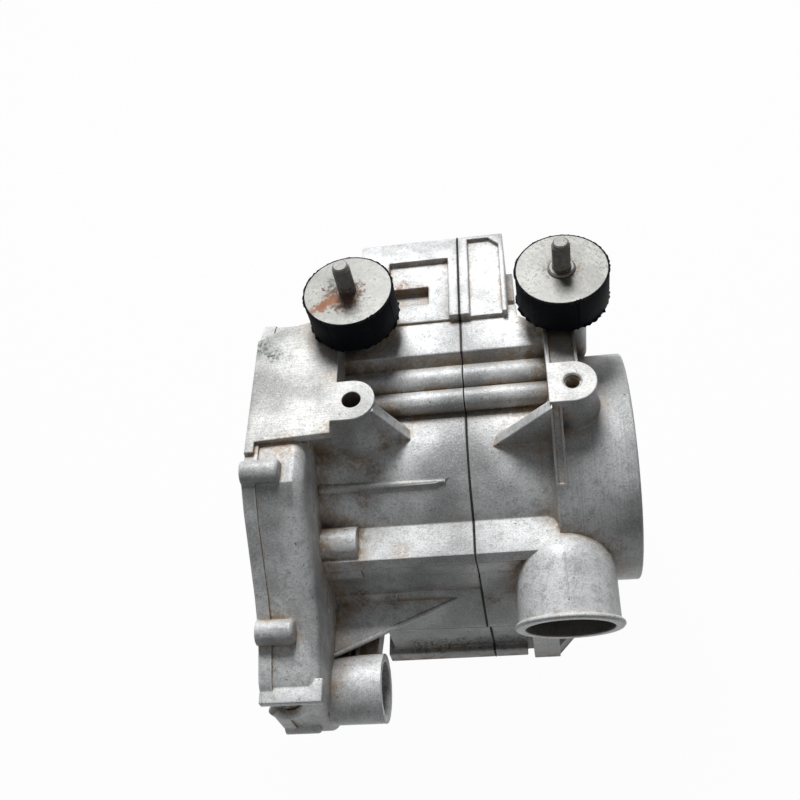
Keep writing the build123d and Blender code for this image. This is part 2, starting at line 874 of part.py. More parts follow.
    # Mounting holes
    with BuildSketch(Plane.XY.offset(mount_plane_z)):
        with Locations((mount_x, 0)):
            Circle(mount_thread_r)
        with Locations((mount_x, mount_back_y)):
            Circle(stud_r + thread_clearance)
    extrude(amount=-mount_hole_depth, mode=Mode.SUBTRACT)
    mouth = right_case_half.edges().filter_by(GeomType.CIRCLE).filter_by(
        lambda e: abs(e.radius - mount_thread_r) < 0.01 and e.center().Z > mount_plane_z - 1
    )
    chamfer(mouth, length=mount_thread_chamfer)

    # Joint bolt threads and dowel seats
    with BuildSketch(across(0)):
        with Locations(*bolt_spots, *box_bolt_spots):
            Circle(bolt_r + thread_clearance)
    extrude(amount=bolt_engagement + 2, mode=Mode.SUBTRACT)
    with BuildSketch(across(0)):
        with Locations(*dowel_spots):
            Circle(dowel_outer_r + dowel_clearance)
    extrude(amount=dowel_length / 2 + fit_gap, mode=Mode.SUBTRACT)

right_case_half.part.label = "right_case_half"
export_step(right_case_half.part, "parts/right_case_half.step")

# Joint gasket: the shape of the joint face less its openings and bolt holes
with BuildPart() as case_gasket:
    with BuildSketch(across(-half_gap)):
        body_outline()
        plateau_outline()
        box_outline()
        Polygon(
            (-neck_front_y, panel_bottom_z),
            (neck_back_y, panel_bottom_z),
            (neck_back_y, -deck_z + flange_thickness),
            (neck_back_y + flange_rim, -deck_z + flange_thickness),
            (neck_back_y + flange_rim, -deck_z),
            (-neck_front_y - flange_rim, -deck_z),
            (-neck_front_y - flange_rim, -deck_z + flange_thickness),
            (-neck_front_y, -deck_z + flange_thickness),
        )
        Circle(chamber_r, mode=Mode.SUBTRACT)
        Polygon(
            (-cylinder_bore_r, -deck_z - 1),
            (cylinder_bore_r, -deck_z - 1),
            (cylinder_bore_r, -cylinder_bore_end_z),
            (-cylinder_bore_r, -cylinder_bore_end_z),
            mode=Mode.SUBTRACT,
        )
    extrude(amount=joint_gap)
    with BuildSketch(across(-half_gap)):
        box_cavity()
    extrude(amount=joint_gap, mode=Mode.SUBTRACT)
    with BuildSketch(across(-half_gap)):
        with Locations(*bolt_spots, *box_bolt_spots):
            Circle(bolt_r + bolt_clearance)
    extrude(amount=joint_gap, mode=Mode.SUBTRACT)
    with BuildSketch(across(-half_gap)):
        with Locations(*dowel_spots):
            Circle(dowel_outer_r + dowel_clearance)
    extrude(amount=joint_gap, mode=Mode.SUBTRACT)

case_gasket.part.label = "case_gasket"
export_step(case_gasket.part, "parts/case_gasket.step")

# Hollow dowels that line up the two halves round two of the bolts
with BuildPart() as dowel_sleeves:
    with BuildSketch(across(-dowel_length / 2)):
        with Locations(*dowel_spots):
            Circle(dowel_outer_r)
            Circle(dowel_outer_r - dowel_wall, mode=Mode.SUBTRACT)
    extrude(amount=dowel_length)

dowel_sleeves.part.label = "dowel_sleeves"
export_step(dowel_sleeves.part, "parts/dowel_sleeves.step")

# Washers and socket screws of the joint, long ones from the housing and short ones through the box
for label, spots, seat_x in (
    ("housing", bolt_spots, housing_floor_x),
    ("box", box_bolt_spots, box_left_x),
):
    with BuildPart() as washers:
        with BuildSketch(across(-seat_x)):
            with Locations(*spots):
                Circle(washer_r)
                Circle(bolt_r + bolt_clearance, mode=Mode.SUBTRACT)
        extrude(amount=-washer_thickness)
    washers.part.label = f"{label}_washers"
    export_step(washers.part, f"parts/{label}_washers.step")

    head_x = seat_x + washer_thickness
    with BuildPart() as screws:
        with BuildSketch(across(-head_x)):
            with Locations(*spots):
                Circle(bolt_head_r)
        extrude(amount=-bolt_head_height)
        with BuildSketch(across(-head_x)):
            with Locations(*spots):
                Circle(bolt_r)
        extrude(amount=head_x + bolt_engagement)
        with BuildSketch(across(-head_x - bolt_head_height)):
            with Locations(*spots):
                RegularPolygon(bolt_key_r, side_count=6)
        extrude(amount=bolt_key_depth, mode=Mode.SUBTRACT)
    screws.part.label = f"{label}_screws"
    export_step(screws.part, f"parts/{label}_screws.step")

# Outer races of the main bearings and the circlips that hold them, one of each in each half
for side, sign in (("left", -1), ("right", 1)):
    with BuildPart() as race:
        with BuildSketch(across(sign * race_start)):
            Circle(race_outer_r)
            Circle(race_inner_r, mode=Mode.SUBTRACT)
        extrude(amount=sign * race_width)
        corners = race.edges().filter_by(GeomType.CIRCLE).filter_by(lambda e: e.radius > race_outer_r - 0.1)
        chamfer(corners, length=race_edge)
    race.part.label = f"{side}_bearing_race"
    export_step(race.part, f"parts/{side}_bearing_race.step")

    with BuildPart() as circlip:
        with BuildSketch(across(sign * groove_start)):
            Circle(clip_r)
            Circle(clip_r - circlip_band, mode=Mode.SUBTRACT)
            with Locations((0, -clip_r)):
                Rectangle(clip_r / 3, clip_r / 2, mode=Mode.SUBTRACT)
        extrude(amount=sign * circlip_thickness)
    circlip.part.label = f"{side}_bearing_circlip"
    export_step(circlip.part, f"parts/{side}_bearing_circlip.step")

# Rubber mounts on the two back bosses: plate and stud at each end of a rubber block
for side, sign in (("left", -1), ("right", 1)):
    foot = Plane(origin=(sign * mount_x, mount_back_y, mount_plane_z))
    top_level = isolator_height - plate_thickness
    for end, plate_z, stud_z, reach in (
        ("base", 0, plate_thickness, -stud_root_length - plate_thickness),
        ("top", top_level, top_level, stud_length + plate_thickness),
    ):
        with BuildPart() as plate:
            with BuildSketch(foot.offset(plate_z)):
                Circle(plate_r)
                Circle(collar_r + fit_gap, mode=Mode.SUBTRACT)
            extrude(amount=plate_thickness)
        plate.part.label = f"{side}_mount_{end}_plate"
        export_step(plate.part, f"parts/{side}_mount_{end}_plate.step")

        with BuildPart() as stud:
            with BuildSketch(foot.offset(stud_z)):
                Circle(stud_r)
            extrude(amount=reach)
            tip = stud.faces().sort_by(Axis.Z)[-1 if reach > 0 else 0].edges()
            chamfer(tip, length=stud_chamfer)
            with BuildSketch(foot.offset(stud_z)):
                Circle(collar_r)
            extrude(amount=plate_thickness if reach > 0 else -plate_thickness)
            with BuildSketch(foot.offset(stud_z)):
                Circle(stud_head_r)
            extrude(amount=-stud_head_thickness if reach > 0 else stud_head_thickness)
        stud.part.label = f"{side}_mount_{end}_stud"
        export_step(stud.part, f"parts/{side}_mount_{end}_stud.step")

    with BuildPart() as rubber:
        with BuildSketch(foot.offset(fit_gap)):
            Circle(rubber_r)
        extrude(amount=isolator_height - 3 * fit_gap)
        for level in (0, top_level):
            with BuildSketch(foot.offset(level)):
                Circle(plate_r)
            extrude(amount=plate_thickness, mode=Mode.SUBTRACT)
        for level in (plate_thickness, top_level - stud_head_thickness):
            with BuildSketch(foot.offset(level)):
                Circle(stud_head_r)
            extrude(amount=stud_head_thickness, mode=Mode.SUBTRACT)
    rubber.part.label = f"{side}_mount_rubber"
    export_step(rubber.part, f"parts/{side}_mount_rubber.step")
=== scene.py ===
import json
import math

import bpy
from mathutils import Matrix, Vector


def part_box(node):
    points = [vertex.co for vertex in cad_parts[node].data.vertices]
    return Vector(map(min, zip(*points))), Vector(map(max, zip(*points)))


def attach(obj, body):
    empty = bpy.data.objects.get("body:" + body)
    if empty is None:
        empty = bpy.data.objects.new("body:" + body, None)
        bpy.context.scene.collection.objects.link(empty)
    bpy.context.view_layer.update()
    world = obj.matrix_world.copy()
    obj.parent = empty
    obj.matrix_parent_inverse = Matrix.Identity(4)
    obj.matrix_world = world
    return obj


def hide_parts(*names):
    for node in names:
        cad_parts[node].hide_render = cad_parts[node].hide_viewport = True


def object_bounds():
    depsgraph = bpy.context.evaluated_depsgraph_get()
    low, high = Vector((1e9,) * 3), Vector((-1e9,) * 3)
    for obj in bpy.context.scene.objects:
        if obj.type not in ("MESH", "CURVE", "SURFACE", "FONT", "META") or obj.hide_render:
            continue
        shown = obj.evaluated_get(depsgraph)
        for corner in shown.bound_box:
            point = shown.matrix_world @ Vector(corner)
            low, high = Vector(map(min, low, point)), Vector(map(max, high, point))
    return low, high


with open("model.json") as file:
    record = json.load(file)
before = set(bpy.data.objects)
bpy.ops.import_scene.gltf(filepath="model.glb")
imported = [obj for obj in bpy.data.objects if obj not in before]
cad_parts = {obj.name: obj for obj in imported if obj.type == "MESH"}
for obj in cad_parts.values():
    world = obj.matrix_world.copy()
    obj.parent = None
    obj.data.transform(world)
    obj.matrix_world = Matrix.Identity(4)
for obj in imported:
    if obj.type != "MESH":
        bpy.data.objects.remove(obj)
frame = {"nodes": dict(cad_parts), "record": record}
cad_low, cad_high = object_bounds()
mm = 0.001


# The white sweep that the crankcase stands on, the soft lamps over it and the camera.
# A plain pale board is lit from above, as for a parts photograph, and stays white in reflections.
def deselect():
    if bpy.context.object and bpy.context.object.mode != "OBJECT":
        bpy.ops.object.mode_set(mode="OBJECT")
    bpy.ops.object.select_all(action="DESELECT")


def new_material(name):
    material = bpy.data.materials.new(name)
    material.use_nodes = True
    return material, material.node_tree, material.node_tree.nodes["Principled BSDF"]


def add_node(tree, kind, values=None, **settings):
    made = tree.nodes.new(kind)
    for key, value in settings.items():
        setattr(made, key, value)
    for key, value in (values or {}).items():
        if isinstance(value, bpy.types.NodeSocket):
            tree.links.new(value, made.inputs[key])
        else:
            made.inputs[key].default_value = value
    return made


def seen_as_background(tree):
    path = add_node(tree, "ShaderNodeLightPath")
    first = add_node(
        tree,
        "ShaderNodeMath",
        {0: path.outputs["Is Camera Ray"], 1: path.outputs["Is Glossy Ray"]},
        operation="MAXIMUM",
    )
    second = add_node(
        tree,
        "ShaderNodeMath",
        {0: first.outputs[0], 1: path.outputs["Is Transmission Ray"]},
        operation="MAXIMUM",
    )
    return second.outputs[0]


cool_white = (0.95, 0.98, 1.0, 1.0)
room_strength = 0.05
scene = bpy.context.scene
scene.view_settings.view_transform = "Standard"
world = bpy.data.worlds.new("studio_room")
scene.world = world
world.use_nodes = True
room = world.node_tree
room_light = room.nodes["Background"]
room_light.inputs["Color"].default_value = cool_white
room_light.inputs["Strength"].default_value = room_strength
room_white = add_node(room, "ShaderNodeBackground", {"Color": (1.0, 1.0, 1.0, 1.0), "Strength": 1.0})
room_mix = add_node(
    room,
    "ShaderNodeMixShader",
    {0: seen_as_background(room), 1: room_light.outputs[0], 2: room_white.outputs[0]},
)
room.links.new(room_mix.outputs[0], room.nodes["World Output"].inputs["Surface"])

board_size = 12.0
board_level = cad_low.z - 0.2 * mm
board_tone = 0.42
board_whiteness = 0.97
deselect()
bpy.ops.mesh.primitive_plane_add(size=board_size, location=(0.0, 0.0, board_level))
board = bpy.context.object
board.name = "white_board"
board_material, tree, shader = new_material("white_board_paper")
shader.inputs["Base Color"].default_value = (board_tone, board_tone, board_tone, 1.0)
shader.inputs["Roughness"].default_value = 0.9
board_glow = add_node(tree, "ShaderNodeEmission", {"Color": (1.0, 1.0, 1.0, 1.0), "Strength": 1.0})
board_share = add_node(
    tree, "ShaderNodeMath", {0: seen_as_background(tree), 1: board_whiteness}, operation="MULTIPLY"
)
board_mix = add_node(
    tree,
    "ShaderNodeMixShader",
    {0: board_share.outputs[0], 1: shader.outputs[0], 2: board_glow.outputs[0]},
)
tree.links.new(board_mix.outputs[0], tree.nodes["Material Output"].inputs["Surface"])
board.data.materials.append(board_material)

for lamp_name, place, size, power in (
    ("top_softbox", (-0.1, 0.8, 1.22), 0.5, 27.0),
    ("front_fill", (1.1, -1.2, 0.6), 0.6, 0.15),
):
    deselect()
    bpy.ops.object.light_add(type="AREA", location=place)
    lamp = bpy.context.object
    lamp.name = lamp_name
    lamp.data.size = size
    lamp.data.energy = power
    lamp.rotation_euler = (Vector((0.0, 0.0, 0.0)) - Vector(place)).to_track_quat("-Z", "Y").to_euler()

deselect()
bpy.ops.object.camera_add()
camera = bpy.context.object
camera.name = "photo_camera"
camera.data.sensor_width = 36.0
camera.data.lens = 42.75
camera.data.clip_start = 0.01
camera.data.clip_end = 20.0
# The camera looks from where the photograph was taken, worked out from its vanishing points.
camera.location = Vector((38.04, -294.37, 484.78)) * mm
camera.rotation_euler = (math.radians(35.941), math.radians(9.391), math.radians(0.765))
scene.camera = camera


# Left case half: the chamber drum, deep cover housing, bosses, gussets and ring lug in one piece.
# Cast aluminium with a dull, pitted skin, stained in its corners, with painted shade in its crevices and
# painted highlights on its edges, and with milled pads and joint face.
# Its solid is right, so a copy of it gets eased edges and is split into cast and milled faces.
sharp_angle = math.radians(28)
weld_reach = 0.001 * mm
# An edge is eased only if it, and the shortest edge at its ends, are this many radii long.
radii_along = 4.29
radii_beside = 3.43


def weigh_roomy_edges(piece, edge_radius):
    bpy.ops.object.mode_set(mode="EDIT")
    bpy.ops.mesh.select_mode(type="EDGE")
    bpy.ops.mesh.select_all(action="DESELECT")
    bpy.ops.mesh.edges_select_sharp(sharpness=sharp_angle)
    bpy.ops.object.mode_set(mode="OBJECT")
    corners = piece.data.vertices
    lengths = []
    for edge in piece.data.edges:
        start, end = (corners[corner].co for corner in edge.vertices)
        lengths.append((start - end).length)
    shortest_at = [1.0] * len(corners)
    for edge, length in zip(piece.data.edges, lengths):
        for corner in edge.vertices:
            shortest_at[corner] = min(shortest_at[corner], length)
    weight = piece.data.attributes.new("bevel_weight_edge", "FLOAT", "EDGE")
    for edge, length in zip(piece.data.edges, lengths):
        beside = min(shortest_at[corner] for corner in edge.vertices)
        roomy = length > radii_along * edge_radius and beside > radii_beside * edge_radius
        weight.data[edge.index].value = float(edge.select and roomy)


def eased_copy(node, name, edge_radius):
    deselect()
    piece = frame["nodes"][node].copy()
    piece.data = piece.data.copy()
    piece.name = name
    piece.parent = None
    bpy.context.collection.objects.link(piece)
    piece.select_set(True)
    bpy.context.view_layer.objects.active = piece
    bpy.ops.mesh.customdata_custom_splitnormals_clear()
    bpy.ops.object.mode_set(mode="EDIT")
    bpy.ops.mesh.select_all(action="SELECT")
    bpy.ops.mesh.remove_doubles(threshold=weld_reach)
    bpy.ops.mesh.normals_make_consistent(inside=False)
    bpy.ops.mesh.dissolve_limited(angle_limit=math.radians(0.5))
    weigh_roomy_edges(piece, edge_radius)
    edges = piece.modifiers.new("worn_edges", "BEVEL")
    edges.width = edge_radius
    edges.segments = 2
    edges.limit_method = "WEIGHT"
    edges.use_clamp_overlap = False
    bpy.ops.object.modifier_apply(modifier=edges.name)
    bpy.ops.object.mode_set(mode="EDIT")
    bpy.ops.mesh.select_all(action="SELECT")
    bpy.ops.mesh.quads_convert_to_tris(quad_method="BEAUTY", ngon_method="BEAUTY")
    bpy.ops.object.mode_set(mode="OBJECT")
    bpy.ops.object.shade_smooth_by_angle(angle=math.radians(35))
    piece.data.materials.clear()
    return piece


class Recipe:
    """Short ways to write the nodes of one finish, all laid out over the piece's own coordinates."""

    def __init__(self, name):
        self.material, self.tree, self.shader = new_material(name)
        self.place = add_node(self.tree, "ShaderNodeTexCoord").outputs["Object"]

    def maths(self, operation, first, second=0.0, clamp=False):
        return add_node(
            self.tree, "ShaderNodeMath", {0: first, 1: second}, operation=operation, use_clamp=clamp
        ).outputs[0]

    def noise(self, scale, detail, rough=0.55, stretch=None):
        where = self.place
        if stretch:
            where = add_node(
                self.tree, "ShaderNodeVectorMath", {0: where, 1: stretch}, operation="MULTIPLY"
            ).outputs[0]
        return add_node(
            self.tree,
            "ShaderNodeTexNoise",
            {"Vector": where, "Scale": scale, "Detail": detail, "Roughness": rough},
        ).outputs["Fac"]

    def specks(self, scale):
        return add_node(
            self.tree, "ShaderNodeTexVoronoi", {"Vector": self.place, "Scale": scale}
        ).outputs["Distance"]

    def step(self, value, low, high):
        return add_node(
            self.tree,
            "ShaderNodeMapRange",
            {"Value": value, "From Min": low, "From Max": high, "To Min": 0.0, "To Max": 1.0},
            interpolation_type="SMOOTHSTEP",
        ).outputs["Result"]

    def mix(self, share, first, second):
        made = add_node(self.tree, "ShaderNodeMix", data_type="RGBA")
        for socket, value in ((0, share), (6, first), (7, second)):
            if isinstance(value, bpy.types.NodeSocket):
                self.tree.links.new(value, made.inputs[socket])
            else:
                made.inputs[socket].default_value = value
        return made.outputs[2]

    def hollow(self, reach):
        return add_node(
            self.tree, "ShaderNodeAmbientOcclusion", {"Distance": reach}, samples=8
        ).outputs["AO"]

    def spot(self, ragged, centre, radius):
        reach = add_node(
            self.tree, "ShaderNodeVectorMath", {0: self.place, 1: centre}, operation="DISTANCE"
        ).outputs["Value"]
        raggedness = radius * 2.6
        full_within = radius * 0.35
        edge = self.maths("MULTIPLY", self.maths("SUBTRACT", ragged, 0.5), raggedness)
        return self.step(self.maths("ADD", reach, edge), radius, full_within)

    def finish(self, colour, roughness, height, depth, rounding=0.3 * mm):
        rounded = add_node(self.tree, "ShaderNodeBevel", {"Radius": rounding}, samples=6)
        bump = add_node(
            self.tree,
            "ShaderNodeBump",
            {"Strength": 0.6, "Distance": depth, "Height": height, "Normal": rounded.outputs[0]},
        )
        for value, socket in (
            (colour, "Base Color"),
            (roughness, "Roughness"),
            (bump.outputs["Normal"], "Normal"),
        ):
            self.tree.links.new(value, self.shader.inputs[socket])
        return self.material


def aluminium(name, tone, patches, marks=None, dirt_and_shade=0.85):
    make = Recipe(name)
    # The bare metal: broad clouds of light and dull skin, mottled and finely grained.
    clouds = make.noise(24.0, 4.0, 0.6)
    mottle = make.noise(190.0, 6.0, 0.75)
    grain = make.noise(1050.0, 3.0, 0.7)
    light = tuple(min(1.0, channel * 1.35) for channel in tone) + (1.0,)
    dull = tuple(channel * 0.55 for channel in tone) + (1.0,)
    dark = tuple(channel * 0.28 for channel in tone) + (1.0,)
    colour = make.mix(make.step(clouds, 0.34, 0.6), dull, light)
    colour = make.mix(make.maths("MULTIPLY", make.step(mottle, 0.46, 0.66), 0.6), colour, dull)
    colour = make.mix(make.maths("MULTIPLY", make.step(grain, 0.5, 0.66), 0.45), colour, dark)
    colour = make.mix(make.maths("MULTIPLY", make.step(grain, 0.46, 0.34), 0.45), colour, light)

    # Dark pits, in loose groups.
    blots = make.noise(620.0, 2.0, 0.5)
    pits = make.maths("MULTIPLY", make.step(blots, 0.66, 0.74), make.step(mottle, 0.44, 0.58))
    colour = make.mix(make.maths("MULTIPLY", pits, 0.85), colour, (0.05, 0.05, 0.052, 1.0))

    # Edges lightened as rubbed metal and as a painted highlight, a brown film in sheltered places, and
    # painted shade that darkens the crevices.
    shelter = make.hollow(16 * mm)
    rounded = add_node(make.tree, "ShaderNodeBevel", {"Radius": 1.6 * mm}, samples=6).outputs[0]
    flat = add_node(make.tree, "ShaderNodeNewGeometry").outputs["Normal"]
    turn = add_node(
        make.tree, "ShaderNodeVectorMath", {0: rounded, 1: flat}, operation="DOT_PRODUCT"
    ).outputs["Value"]
    # Painted highlight: convex edges in the open are mixed towards near white, as well as showing rubbed
    # metal.
    edges = make.maths("MULTIPLY", make.step(turn, 0.985, 0.84), make.step(shelter, 0.5, 0.75))
    colour = make.mix(make.maths("MULTIPLY", edges, 0.75), colour, (0.86, 0.86, 0.85, 1.0))
    film = make.maths("MULTIPLY", make.step(shelter, 0.95, 0.5), make.step(mottle, 0.36, 0.56))
    film = make.maths("MULTIPLY", film, make.step(clouds, 0.3, 0.48))
    colour = make.mix(make.maths("MULTIPLY", film, 0.9), colour, (0.34, 0.235, 0.135, 1.0))
    # Painted shade: crevices and deeply sheltered hollows are mixed towards near black.
    crevices = make.maths("MULTIPLY", make.step(make.hollow(4 * mm), 0.6, 0.25), dirt_and_shade)
    crevice_shade = make.maths("MAXIMUM", crevices, make.maths("MULTIPLY", make.step(shelter, 0.62, 0.2), dirt_and_shade))
    colour = make.mix(crevice_shade, colour, (0.045, 0.04, 0.035, 1.0))
    stains_and_shade = make.maths("MAXIMUM", film, crevice_shade)

    # Stains, and patches of painted shadow, in their own places, crumbled at the edges.
    crumbs = make.step(make.noise(480.0, 4.0, 0.7), 0.36, 0.6)
    for centre, radius, strength, tint in patches:
        spot = make.maths("MULTIPLY", make.spot(mottle, centre, radius), crumbs)
        spot = make.maths("MULTIPLY", spot, strength)
        colour = make.mix(spot, colour, tint)
        stains_and_shade = make.maths("MAXIMUM", stains_and_shade, spot)

    # The relief of the skin, with the cutter's marks where there are any.
    height = make.maths("ADD", make.maths("MULTIPLY", grain, 1.2), make.maths("MULTIPLY", mottle, 1.2))
    height = make.maths("SUBTRACT", height, make.maths("MULTIPLY", pits, 0.8))
    if marks:
        lines = make.noise(1.0, 3.0, 0.6, marks)
        colour = make.mix(make.maths("MULTIPLY", make.step(lines, 0.5, 0.66), 0.4), colour, dull)
        height = make.maths("ADD", height, lines)
    dulled = make.maths("MULTIPLY", stains_and_shade, 0.25)
    roughness = make.maths("ADD", make.maths("MULTIPLY", clouds, 0.2), dulled)
    make.shader.inputs["Metallic"].default_value = 0.06
    make.shader.inputs["Specular IOR Level"].default_value = 0.4
    return make.finish(colour, make.maths("ADD", roughness, 0.27, True), height, 0.3 * mm, 1.3 * mm)


def finish_faces(piece, material, chosen):
    piece.data.materials.append(material)
    slot = len(piece.data.materials) - 1
    for face in piece.data.polygons:
        if chosen(face.center, face.normal):
            face.material_index = slot


ochre = (0.36, 0.235, 0.13, 1.0)
brown = (0.15, 0.09, 0.05, 1.0)
rust = (0.24, 0.095, 0.04, 1.0)
oxide = (0.08, 0.095, 0.09, 1.0)
# Near-black colour of the painted shadow along the neck, just above the deck flange.
painted_neck_shadow = (0.05, 0.048, 0.043, 1.0)
cast_tone = (0.53, 0.54, 0.545)
milling_marks = (60.0, 1400.0, 60.0)
cast_edge = 0.7 * mm
face_reach = 0.1 * mm
facing = 0.99
left_low, left_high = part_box("left_case_half")
right_low, right_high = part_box("right_case_half")
pad_level = right_high.z
deck_level = left_low.z


def milled_flat(centre, normal):
    on_pad = normal.z > facing and centre.z > pad_level - face_reach
    on_deck = normal.z < -facing and centre.z < deck_level + face_reach
    return on_pad or on_deck


# Each stain or patch of painted shadow is a place, a reach, a strength and a colour.
left_stains_and_shadow = (
    ((-0.112, 0.042, 0.087), 10 * mm, 1.0, oxide),
    ((-0.104, 0.036, 0.087), 7 * mm, 1.0, oxide),
    ((-0.070, 0.016, 0.087), 7 * mm, 0.5, ochre),
    ((-0.071, -0.018, 0.087), 7 * mm, 0.6, ochre),
    ((-0.094, -0.024, 0.084), 10 * mm, 0.65, ochre),
    ((-0.042, 0.015, 0.055), 8 * mm, 0.6, ochre),
    ((-0.023, 0.011, 0.056), 9 * mm, 0.5, ochre),
    ((-0.061, -0.018, 0.054), 8 * mm, 0.7, ochre),
    ((-0.051, -0.023, 0.052), 7 * mm, 0.6, brown),
    ((-0.059, -0.036, 0.044), 7 * mm, 0.6, brown),
    ((-0.062, -0.065, 0.030), 9 * mm, 0.5, ochre),
    ((-0.040, -0.062, 0.030), 9 * mm, 0.45, ochre),
    ((-0.069, -0.071, -0.006), 7 * mm, 0.8, brown),
    ((-0.050, -0.071, -0.008), 8 * mm, 0.7, brown),
    # The next four patches are painted shadow along the neck, just above the deck flange.
    ((-0.046, -0.069, -0.084), 11 * mm, 0.8, painted_neck_shadow),
    ((-0.033, -0.069, -0.085), 11 * mm, 0.8, painted_neck_shadow),
    ((-0.020, -0.069, -0.085), 11 * mm, 0.75, painted_neck_shadow),
    ((-0.007, -0.069, -0.084), 10 * mm, 0.7, painted_neck_shadow),
    ((-0.034, 0.087, 0.074), 7 * mm, 0.8, rust),
    ((-0.022, 0.085, 0.074), 6 * mm, 0.6, rust),
)
left_half = eased_copy("left_case_half", "left_half_casting", cast_edge)
left_half.data.materials.append(aluminium("left_cast_skin", cast_tone, left_stains_and_shadow))
finish_faces(
    left_half,
    aluminium("left_milled_faces", (0.54, 0.545, 0.53), left_stains_and_shadow, milling_marks),
    lambda centre, normal: milled_flat(centre, normal)
    or (normal.x > facing and centre.x > left_high.x - face_reach)
    or (normal.x < -facing and centre.x < left_low.x + face_reach),
)
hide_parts("left_case_half")
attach(left_half, "root")


# Beads and lips cast on the left half: the rim of the big gusset, the rounded fin and the drain lip.
# They are the same aluminium, run in the same mould, and blend into the faces behind them.
def cast_bead(name, places, radii, finish):
    # The places along the bead and its radii there are in millimetres.
    deselect()
    bpy.ops.curve.primitive_nurbs_path_add(location=(0.0, 0.0, 0.0))
    bead = bpy.context.object
    bead.name = name
    for point, place, radius in zip(bead.data.splines[0].points, places, radii):
        point.co = (place[0] * mm, place[1] * mm, place[2] * mm, 1.0)
        point.radius = radius
    bead.data.bevel_depth = 1 * mm
    bead.data.bevel_resolution = 4
    bead.data.use_fill_caps = True
    bpy.ops.object.convert(target="MESH")
    bpy.ops.object.mode_set(mode="EDIT")
    bpy.ops.mesh.select_all(action="SELECT")
    bpy.ops.mesh.remove_doubles(threshold=weld_reach)
    bpy.ops.mesh.normals_make_consistent(inside=False)
    bpy.ops.object.mode_set(mode="OBJECT")
    bpy.ops.object.shade_smooth_by_angle(angle=math.radians(40))
    bead.data.materials.append(finish)
    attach(bead, "root")


left_skin = left_half.data.materials[0]
cast_bead(
    "gusset_rim",
    (
        (-83.5, -102.3, -10.6),
        (-66, -94.7, -10.6),
        (-48, -86.9, -10.6),
        (-30, -79.1, -10.6),
        (-14, -72.2, -10.6),
    ),
    (1.5, 1.5, 1.4, 1.3, 0.9),
    left_skin,
)
cast_bead(
    "rounded_fin",
    ((-82.5, -30.4, 47.4), (-66, -30.5, 47.5), (-48, -30.6, 47.6), (-30, -30.7, 47.8), (-13, -30.8, 48.0)),
    (3.0, 2.7, 2.3, 1.9, 1.1),
    left_skin,
)
cast_bead(
    "drain_lip",
    ((-111, -135.6, 4), (-109, -135.8, -8), (-100, -136, -7), (-92, -135.8, 2), (-90, -134.6, 18)),
    (2.6, 3.0, 3.2, 3.0, 2.4),
    left_skin,
)


# Right case half: the other half of the chamber with the round spigot and the hose elbow.
# The same cast aluminium, with the spigot turned on a lathe and the boss tops milled bright.
right_stains_and_shadow = (
    ((0.038, 0.009, 0.056), 7 * mm, 0.6, ochre),
    ((0.044, -0.012, 0.062), 6 * mm, 0.55, ochre),
    ((0.017, -0.014, 0.055), 5 * mm, 0.6, ochre),
    ((0.041, -0.047, 0.034), 7 * mm, 0.5, ochre),
    ((0.047, -0.056, 0.033), 6 * mm, 0.6, ochre),
    ((0.005, -0.071, -0.014), 7 * mm, 0.7, brown),
    ((0.033, -0.092, -0.003), 5 * mm, 0.5, ochre),
    ((0.057, -0.092, -0.004), 7 * mm, 0.45, ochre),
    ((0.046, -0.080, 0.028), 3 * mm, 0.7, brown),
    ((0.045, -0.084, 0.014), 2.5 * mm, 0.7, brown),
    ((0.066, -0.040, 0.051), 3 * mm, 0.6, oxide),
    # The next two patches are painted shadow along the neck, just above the deck flange.
    ((0.007, -0.069, -0.084), 10 * mm, 0.7, painted_neck_shadow),
    ((0.020, -0.069, -0.085), 11 * mm, 0.75, painted_neck_shadow),
)
mounts = {mount["name"]: mount for mount in frame["record"]["mounts"]}
spigot_wall = 4.0 * mm
spigot_radius = mounts["spigot_bore"]["dims"]["r_mm"] * mm + spigot_wall
turned_from = 51.5 * mm
turned_end = 86 * mm
turning_marks = (1900.0, 9.0, 9.0)
right_half = eased_copy("right_case_half", "right_half_casting", cast_edge)
right_half.data.materials.append(aluminium("right_cast_skin", cast_tone, right_stains_and_shadow))
finish_faces(
    right_half,
    aluminium("right_milled_faces", (0.62, 0.62, 0.605), right_stains_and_shadow, milling_marks),
    lambda centre, normal: milled_flat(centre, normal)
    or (normal.x < -facing and centre.x < right_low.x + face_reach),
)
finish_faces(
    right_half,
    aluminium("right_turned_spigot", cast_tone, right_stains_and_shadow, turning_marks),
    lambda centre, normal: centre.x > turned_from
    and abs(math.hypot(centre.y, centre.z) - spigot_radius) < 1.2 * mm
    and (normal.yz.length > 0.5 or centre.x > turned_end),
)
elbow_bore = mounts["elbow_bore"]
elbow_way = -Vector(elbow_bore["axis"])
elbow_end = Vector(elbow_bore["pos_m"]) - elbow_way * (elbow_bore["dims"]["length_mm"] / 2 * mm)
elbow_depth = 45 * mm
elbow_reach = elbow_bore["dims"]["r_mm"] * mm + 1.7 * mm


def inside_elbow(centre, normal):
    off = centre - elbow_end
    along = off.dot(elbow_way)
    across = off - elbow_way * along
    looks_in = across.dot(normal) < -0.5 * across.length
    return along < elbow_depth and across.length < elbow_reach and looks_in


# The faces inside the elbow bore get a near-black tone, painted shade inside the hose end.
finish_faces(right_half, aluminium("painted_shade_elbow_bore", (0.12, 0.115, 0.105), ()), inside_elbow)
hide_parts("right_case_half")
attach(right_half, "root")


